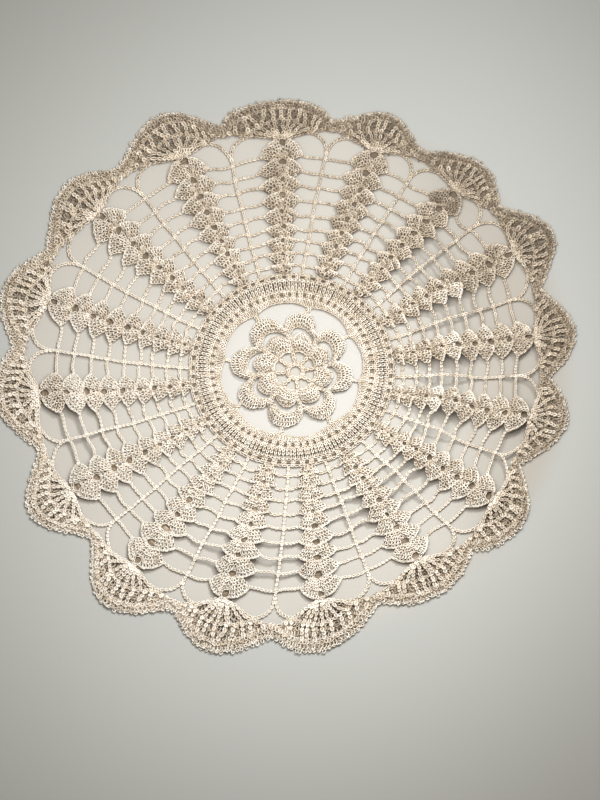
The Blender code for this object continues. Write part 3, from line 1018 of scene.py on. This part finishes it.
# The inner fan: its strands of chain and their ends, at the top eyelet and at the arch.
INNER_STRANDS = 9
INNER_FOOT_HALF = 3.4
INNER_FOOT_RISE = 0.4
INNER_FOOT_HEIGHT, INNER_HEAD_HEIGHT = 1.4, 1.6
INNER_MARGIN = 0.6
INNER_SWAY = 0.25
# The outer fan: its strands lean by steps, of which there are so many from one to the next.
OUTER_STRANDS = 13
STRAND_STEPS = 24
STRAND_LEAN, LEAN_LIMIT = 5, 9
STRAND_SHORTEST = 2.2
HALFWAY_SINK = 0.2
BORDER = 5.6
BORDER_OUTER = 0.8
BORDER_STITCH = 2.2
BORDER_HEIGHT = 1.0
OUTER_HEIGHT = 0.7
# The uneven knobs along the rim.
KNOB_PITCH = 2.9
KNOB_REACH = 1.5
KNOB_HEIGHT = 0.6


def edging(yarn, columns):
    for column in columns:
        scallop(yarn, column)


def scallop_rise(column, off_column):
    """How far out the rim is: 1 at a column, 0 in a valley, and a half at the repeat's width."""
    even = (1 + np.cos(math.pi * off_column)) / 2
    even_at_width = (1 + math.cos(math.pi * LAID[column].width)) / 2
    return even ** (math.log(0.5) / math.log(even_at_width))


def rim_line(column, inset, height):
    off = np.linspace(-1, 1, LINE_POINTS)
    radius = VALLEY + (SCALLOP - VALLEY) * scallop_rise(column, np.abs(off)) - inset
    return polar(column_angle(column) + off * SECTOR / 2, radius, height)


def base_line(column, height):
    half = [(span(across, radius), radius) for across, radius in EDGING_BASE]
    both = [(-angle, radius) for angle, radius in reversed(half[1:])] + half
    angle, radius = np.array(both).T
    return smooth(polar(column_angle(column) + angle, radius, height), rounds=1)


def arch_radius(angle):
    swing = np.cos(math.pi / 2 * np.clip(np.abs(angle) / ARCH_HALF, 0, 1)) ** ARCH_POINT
    return ARCH_FOOT + (ARCH_TOP - ARCH_FOOT) * swing


def arch_line(column):
    angle = np.linspace(-1, 1, LINE_POINTS) * SECTOR / 2
    return polar(column_angle(column) + angle, arch_radius(angle), ARCH_HEIGHT)


def strands(yarn, start, end, bow, width=1.2, radius=0.5, tone=0.1):
    """A chain from each start to its end, rising by bow in between, painted paler as a highlight.
    """
    for ends in zip(start, end):
        line = stitch_row(ends, least=2)
        line[:, 2] += bow * np.sin(np.linspace(0, math.pi, len(line)))
        links(yarn, line, width=width, jitter=0.45, radius=radius, tone=tone)


def scallop(yarn, column):
    links(yarn, stitch_row(base_line(column, BASE_HEIGHT)), width=1.2, jitter=0.3, radius=0.45)
    arch, border = arch_line(column), rim_line(column, BORDER, BORDER_HEIGHT)
    near, far = base_line(column, GROUND_HEIGHT), rim_line(column, GROUND_INSET, GROUND_HEIGHT)
    # The ground is painted browner, as shade between the strands.
    patch(yarn, ruled(near, far), pitch=GROUND_STITCH, jitter=0.45, tone=-0.2)
    inner_fan(yarn, column_angle(column), arch)
    outer_fan(yarn, arch, border)
    dense_border(yarn, column, border)


def inner_fan(yarn, middle, arch):
    """Strands of chain from the top eyelet to the arch, and a row of chain along it."""
    outermost = ARCH_HALF - INNER_MARGIN
    sway = random.normal(0, INNER_SWAY, INNER_STRANDS)
    angle = np.linspace(-outermost, outermost, INNER_STRANDS) + sway
    foot_x = np.linspace(-INNER_FOOT_HALF, INNER_FOOT_HALF, INNER_STRANDS)
    foot_radius = NET[-1].eyelet + INNER_FOOT_RISE * np.abs(foot_x)
    foot = polar(middle + span(foot_x, NET[-1].eyelet), foot_radius, INNER_FOOT_HEIGHT)
    head = polar(middle + angle, arch_radius(angle), INNER_HEAD_HEIGHT)
    strands(yarn, foot, head, bow=0.9, tone=0.15)
    off_middle = np.abs(np.linspace(-1, 1, LINE_POINTS)) * SECTOR / 2
    inner_part = arch[off_middle < ARCH_HALF + ARCH_MARGIN]
    links(yarn, stitch_row(inner_part), width=1.2, jitter=0.35, radius=0.45, tone=0.1)


def outer_fan(yarn, arch, border):
    """Leaning strands of chain from the arch to the border, and a row of chain halfway."""
    feet = resampled(arch, OUTER_STRANDS * STRAND_STEPS + 1)
    heads = resampled(border, OUTER_STRANDS * STRAND_STEPS + 1)
    place = np.arange(OUTER_STRANDS) * STRAND_STEPS + STRAND_STEPS // 2
    lean = np.clip(random.normal(0, STRAND_LEAN, (2, OUTER_STRANDS)), -LEAN_LIMIT, LEAN_LIMIT)
    lean_in, lean_out = np.round(lean).astype(int)
    start, end = feet[place + lean_in], heads[place + lean_out]
    tall = np.linalg.norm(end - start, axis=1) > STRAND_SHORTEST
    strands(yarn, start[tall], end[tall], bow=1.5, width=1.4, radius=0.62, tone=0.22)
    # The row halfway lies lower and is painted browner, as shade between the strands.
    halfway = (feet + heads) / 2 - (0, 0, HALFWAY_SINK)
    halfway = halfway[STRAND_STEPS * 2 : -STRAND_STEPS * 2]
    links(yarn, stitch_row(halfway), width=1.2, jitter=0.5, tone=-0.3)


def dense_border(yarn, column, border):
    outer = rim_line(column, BORDER_OUTER, OUTER_HEIGHT)
    # The border is painted paler outwards, and its rim and knobs much paler, as painted highlight.
    row_tops(yarn, stitch_row(border), width=1.1, jitter=0.35, tone=0.1)
    patch(yarn, ruled(border, outer, bow=0.8), pitch=BORDER_STITCH, jitter=0.5, shade=(0.0, 0.1))
    links(yarn, stitch_row(outer), width=1.1, jitter=0.3, tone=0.6)
    count = round(length_of(outer) / KNOB_PITCH)
    foot = shaken(resampled(outer, count), 0.35)
    tip = rim_line(column, BORDER_OUTER - KNOB_REACH, KNOB_HEIGHT)
    tip = shaken(resampled(tip, count), 0.5)
    loops(yarn, V_LOOP, V_CREST, foot, tip, width=1.5, radius=0.5, tone=0.25)


# Nodes of a material. A value is the output of another node, or a number, colour or direction.


def put(tree, value, socket):
    if isinstance(value, bpy.types.NodeSocket):
        tree.links.new(value, socket)
    else:
        socket.default_value = value


def maths(tree, operation, *values, kind="ShaderNodeMath"):
    node = tree.nodes.new(kind)
    node.operation = operation
    for value, socket in zip(values, node.inputs):
        put(tree, value, socket)
    return node.outputs["Value"]


def noise(tree, place, scale, detail=2.0):
    node = tree.nodes.new("ShaderNodeTexNoise")
    put(tree, place, node.inputs["Vector"])
    put(tree, scale, node.inputs["Scale"])
    put(tree, detail, node.inputs["Detail"])
    return node.outputs["Fac"]


def smooth_step(tree, value, start, end):
    node = tree.nodes.new("ShaderNodeMapRange")
    node.interpolation_type = "SMOOTHSTEP"
    put(tree, value, node.inputs["Value"])
    put(tree, start, node.inputs["From Min"])
    put(tree, end, node.inputs["From Max"])
    return node.outputs["Result"]


def mix(tree, part, first, second):
    node = tree.nodes.new("ShaderNodeMix")
    node.data_type = "RGBA"
    ends = [socket for socket in node.inputs if socket.type == "RGBA"]
    put(tree, part, node.inputs["Factor"])
    put(tree, first, ends[0])
    put(tree, second, ends[1])
    return next(socket for socket in node.outputs if socket.type == "RGBA")


def new_material(name, look):
    material = bpy.data.materials.new(name)
    material.use_nodes = True
    tree = material.node_tree
    surface = tree.nodes["Principled BSDF"]
    for socket, value in look.items():
        put(tree, value, surface.inputs[socket])
    place = tree.nodes.new("ShaderNodeTexCoord").outputs["Object"]
    return material, tree, surface, place


# The look of the cotton

COTTON_LOOK = {
    "Roughness": 0.72,
    "Sheen Weight": 0.35,
    "Sheen Roughness": 0.45,
    "Sheen Tint": (1.0, 0.93, 0.84, 1),
}
Shade = namedtuple("Shade", "position colour")
# The colours that the crest and the noise are read into: the brown end is where shade is painted.
COTTON_SHADES = (
    Shade(0.0, (0.165, 0.128, 0.09, 1)),
    Shade(0.22, (0.29, 0.228, 0.16, 1)),
    Shade(0.62, (0.70, 0.605, 0.485, 1)),
    Shade(0.95, (0.94, 0.90, 0.83, 1)),
)
# How much patches and fibres count for in the noise, how much the noise does beside the crest, and
# what both are divided by.
PATCH_SHARE, FIBRE_SHARE = 0.6, 0.4
NOISE_SHARE = 0.45
SHADE_RANGE = 1.3
# The bump: the ridges around a yarn, and how high a fibre is beside one.
PLIES = 2.0
FIBRE_BUMP = 0.8


def cotton_material():
    material, tree, surface, place = new_material("cream_cotton", COTTON_LOOK)
    patches = noise(tree, place, scale=28.0, detail=3.0)
    fibres = noise(tree, place, scale=900.0)
    fibre_part = maths(tree, "MULTIPLY", fibres, FIBRE_SHARE)
    mixed = maths(tree, "MULTIPLY_ADD", patches, PATCH_SHARE, fibre_part)
    # the crest carries the yarn's painted shade
    crest = tree.nodes.new("ShaderNodeAttribute")
    crest.attribute_name = "crest"
    raised = maths(tree, "MULTIPLY_ADD", mixed, NOISE_SHARE, crest.outputs["Fac"])
    shades = tree.nodes.new("ShaderNodeValToRGB")
    put(tree, maths(tree, "MULTIPLY", raised, 1 / SHADE_RANGE), shades.inputs["Fac"])
    elements = shades.color_ramp.elements
    elements.remove(elements[-1])
    for shade in COTTON_SHADES[1:]:
        elements.new(shade.position)
    for element, shade in zip(elements, COTTON_SHADES):
        element.position, element.color = shade
    put(tree, shades.outputs["Color"], surface.inputs["Base Color"])

    # the plies of the yarn wind round it
    yarn = tree.nodes.new("ShaderNodeUVMap")
    yarn.uv_map = "Yarn"
    split = tree.nodes.new("ShaderNodeSeparateXYZ")
    put(tree, yarn.outputs["UV"], split.inputs[0])
    turned = maths(tree, "MULTIPLY", split.outputs["Y"], PLIES)
    turn = maths(tree, "MULTIPLY_ADD", split.outputs["X"], 1 / PLY_TURN, turned)
    wave = maths(tree, "SINE", maths(tree, "MULTIPLY", turn, 2 * math.pi))
    bump = tree.nodes.new("ShaderNodeBump")
    bump.inputs["Strength"].default_value = 0.5
    bump.inputs["Distance"].default_value = 0.0001
    put(tree, maths(tree, "MULTIPLY_ADD", fibres, FIBRE_BUMP, wave), bump.inputs["Height"])
    put(tree, bump.outputs["Normal"], surface.inputs["Normal"])
    return material


# The table, the light and the camera, in metres

TABLE_HALF = 3.0
ROSE_MIDDLE = (0.0069, 0.0022, 0)
TABLE_LOOK = {"Roughness": 0.6}
TABLE_SHADES = ((0.376, 0.392, 0.386, 1), (0.396, 0.412, 0.406, 1))
# The table under the lace is painted darker on the right, as shade where the lace lies higher: its
# colours, the direction, and where that way the change starts and ends.
UNDER_LACE = ((0.43, 0.417, 0.39, 1), (0.35, 0.33, 0.297, 1))
RIGHTWARDS = (0.985, 0.174, 0)
DARK_START, DARK_END = 0.055, 0.125
# Tints that are painted on the table around the rose, each from a radius inwards: painted warm
# light from the cotton under the lace, a paler pool within the band, and painted shade under the
# wheel.
# The one without a colour takes that of the table under the lace.
Tint = namedtuple("Tint", "start end colour")
TINTS = (
    Tint(0.168, 0.148, None),
    Tint(0.06, 0.035, (0.47, 0.467, 0.452, 1)),
    Tint(0.021, 0.014, (0.42, 0.405, 0.372, 1)),
)


def table_material():
    material, tree, surface, place = new_material("pale_table", TABLE_LOOK)
    shades = tree.nodes.new("ShaderNodeValToRGB")
    for element, colour in zip(shades.color_ramp.elements, TABLE_SHADES):
        element.color = colour
    put(tree, noise(tree, place, scale=3.0), shades.inputs["Fac"])
    vector = "ShaderNodeVectorMath"
    rightwards = maths(tree, "DOT_PRODUCT", place, RIGHTWARDS, kind=vector)
    under_lace = mix(tree, smooth_step(tree, rightwards, DARK_START, DARK_END), *UNDER_LACE)
    radius = maths(tree, "LENGTH", place, kind=vector)
    colour = shades.outputs["Color"]
    for tint in TINTS:
        near = smooth_step(tree, radius, tint.start, tint.end)
        colour = mix(tree, near, colour, tint.colour or under_lace)
    put(tree, colour, surface.inputs["Base Color"])
    return material


def place_object(name, data, location):
    made = bpy.data.objects.new(name, data)
    made.location = location
    bpy.context.scene.collection.objects.link(made)
    return made


def table():
    mesh = bpy.data.meshes.new("table")
    corners = ((-1, -1), (1, -1), (1, 1), (-1, 1))
    mesh.from_pydata([(x * TABLE_HALF, y * TABLE_HALF, 0) for x, y in corners], [], [range(4)])
    mesh.materials.append(table_material())
    return place_object("table", mesh, ROSE_MIDDLE)


def face(made, direction):
    """Turn a light or a camera to look along a direction."""
    made.rotation_euler = direction.to_track_quat("-Z", "Y").to_euler()


# The window's light comes in pools, each a spot whose width is in degrees.
WINDOW = (0.6, 0.78, 1.3)
WINDOW_COLOUR = (0.94, 0.99, 1.0)
Pool = namedtuple("Pool", "aim width energy size")
POOLS = (
    Pool((0.031, 0.076, 0), 21, 44, 0.11),
    Pool((0.026, -0.1115, 0), 12, 31, 0.08),
)
CEILING = (0.02, 0.005, 0.31)
CEILING_COLOUR = (1.0, 0.955, 0.9)
CEILING_SIZE = 0.36
CEILING_ENERGY = 1.36
SKY_COLOUR = (1.0, 0.92, 0.82, 1)
SKY_STRENGTH = 0.38


def light_up():
    bpy.context.scene.view_settings.view_transform = "Standard"
    world = bpy.data.worlds.new("room")
    bpy.context.scene.world = world
    world.use_nodes = True
    sky = world.node_tree.nodes["Background"]
    sky.inputs["Color"].default_value = SKY_COLOUR
    sky.inputs["Strength"].default_value = SKY_STRENGTH

    for pool in POOLS:
        key = bpy.data.lights.new("window", "SPOT")
        key.energy = pool.energy
        key.color = WINDOW_COLOUR
        key.spot_size = math.radians(pool.width)
        key.spot_blend = 1.0
        key.shadow_soft_size = pool.size
        face(place_object("window", key, WINDOW), Vector(pool.aim) - Vector(WINDOW))

    fill = bpy.data.lights.new("ceiling", "AREA")
    fill.shape = "DISK"
    fill.size = CEILING_SIZE
    fill.energy = CEILING_ENERGY
    fill.color = CEILING_COLOUR
    face(place_object("ceiling", fill, CEILING), -Vector(CEILING))


CAMERA_ELEVATION = 70
CAMERA_DISTANCE = 9.0
CAMERA_AIM = (0.00945, -0.01526, 0.0)


def camera():
    lens = bpy.data.cameras.new("camera")
    lens.lens = 694.6
    lens.sensor_width = 36
    tilt = math.radians(CAMERA_ELEVATION)
    back = Vector((0, -math.cos(tilt), math.sin(tilt)))
    made = place_object("camera", lens, Vector(CAMERA_AIM) + back * CAMERA_DISTANCE)
    face(made, -back)
    bpy.context.scene.camera = made


def make(name, build, *options):
    yarn = Yarn()
    build(yarn, *options)
    piece = yarn.piece(name, COTTON)
    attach(piece, "root")
    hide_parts("doily")
    return piece


camera()
COTTON = cotton_material()
pieces = [
    make("lace_shells_outer", shells, range(6, 9)),
    make("lace_shells_middle", shells, range(3, 6)),
    make("lace_shells_inner", shells, range(0, 3)),
    make("lace_rose", wheel_and_rose),
    make("lace_band", band),
    make("lace_net", net),
    make("lace_edging_right", edging, range(0, 8)),
    make("lace_edging_left", edging, range(8, 16)),
]
table()
light_up()
